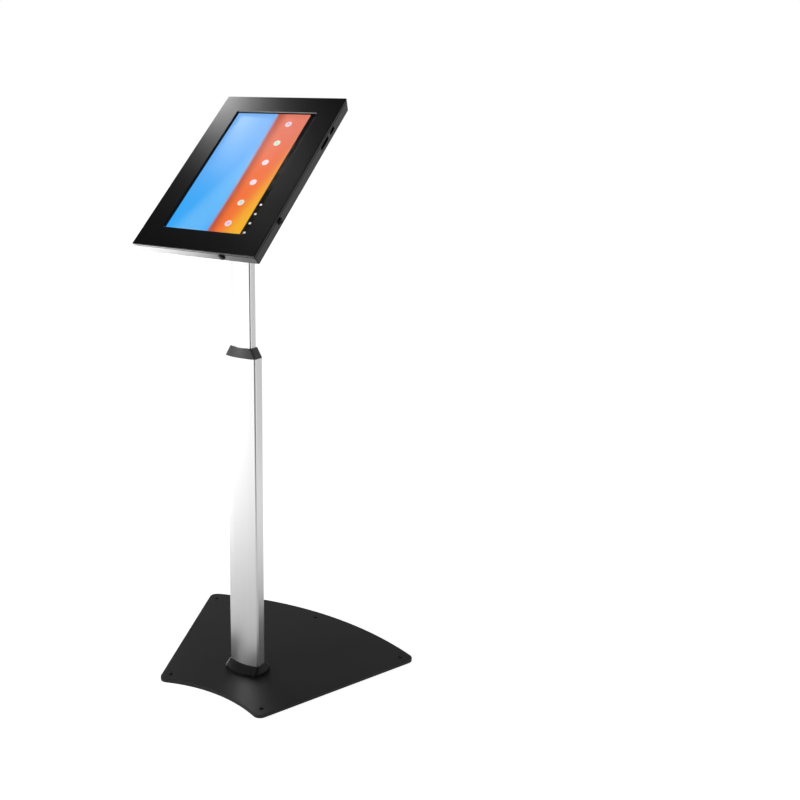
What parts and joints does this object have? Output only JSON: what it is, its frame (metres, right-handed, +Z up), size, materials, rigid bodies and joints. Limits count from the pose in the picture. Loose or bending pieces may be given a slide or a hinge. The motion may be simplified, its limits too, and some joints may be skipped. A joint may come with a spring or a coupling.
{
  "type": "tablet security kiosk stand",
  "caption": "Floor stand with a telescopic flat column, a ring-slice steel base and a lockable tilting housing that holds a tablet behind a framed window.",
  "frame": {"origin": "on the floor, under the middle of the column", "axes": "+Z up; the user stands on the -Y side; +X is to the right seen from the user's side"},
  "size_m": [0.4066, 0.3104, 0.8544],
  "materials": {
    "powder_coat": "satin black powder coat, very fine texture",
    "rubber": "matte",
    "foam": "matte closed-cell foam",
    "aluminium": "satin anodised, drawn along the tube",
    "cast_aluminium": "cast",
    "black_plastic": "moulded, satin",
    "zinc_steel": "zinc plated",
    "black_steel": "black oxide",
    "brass": "turned",
    "tablet_plastic": "fine moulded",
    "display": "lit display",
    "glass": "cover glass"
  },
  "bodies": {
    "base": {"base_plate": "powder_coat", "base_pads": "rubber", "base_screws": "zinc_steel", "column_foot": "cast_aluminium", "foot_screws": "zinc_steel", "base_collar": "black_plastic", "outer_column": "aluminium", "top_collar": "black_plastic", "lock_insert": "brass", "lock_pad": "black_plastic", "lock_screw": "black_steel"},
    "mast": {"inner_column": "aluminium", "column_slider": "black_plastic", "slider_screws": "zinc_steel", "tilt_knuckle": "cast_aluminium", "knuckle_screws": "zinc_steel"},
    "tilt": {"tilt_bracket": "powder_coat", "friction_washers": "black_plastic", "bolt_washers": "zinc_steel", "pivot_bolt": "zinc_steel", "pivot_nut": "zinc_steel", "swivel_disc": "black_plastic", "swivel_washer": "zinc_steel"},
    "head": {"swivel_plate": "powder_coat", "plate_screws": "zinc_steel", "plate_nuts": "zinc_steel", "swivel_bolt": "zinc_steel", "swivel_nut": "zinc_steel", "rear_tray": "powder_coat", "front_cover": "powder_coat", "rivet_nuts": "zinc_steel", "security_screws": "black_steel", "window_foam": "foam", "corner_blocks": "foam", "back_pads": "foam", "tablet_shell": "tablet_plastic", "display_panel": "display", "tablet_glass": "glass"},
    "power_button": {"power_button": "tablet_plastic"},
    "volume_button": {"volume_button": "tablet_plastic"}
  },
  "joints": [
    {"name": "height_slide", "type": "slide", "parent": "base", "child": "mast", "axis": [0, 0, 1], "range_m": [-0.125, 0.23]},
    {"name": "head_tilt", "type": "hinge", "parent": "mast", "child": "tilt", "pos_m": [0, 0, 0.699], "axis": [1, 0, 0], "range_deg": [-28.4, 46.6]},
    {"name": "head_turn", "type": "hinge", "parent": "tilt", "child": "head", "pos_m": [0, -0.00233, 0.75735], "axis": [0, -0.6871, 0.7266], "range_deg": [0, 90]},
    {"name": "power_press", "type": "slide", "parent": "head", "child": "power_button", "axis": [-1, 0, 0], "range_m": [0, 0.0005], "stiffness_N_per_m": 600},
    {"name": "volume_press", "type": "slide", "parent": "head", "child": "volume_button", "axis": [-1, 0, 0], "range_m": [0, 0.0005], "stiffness_N_per_m": 600}
  ]
}
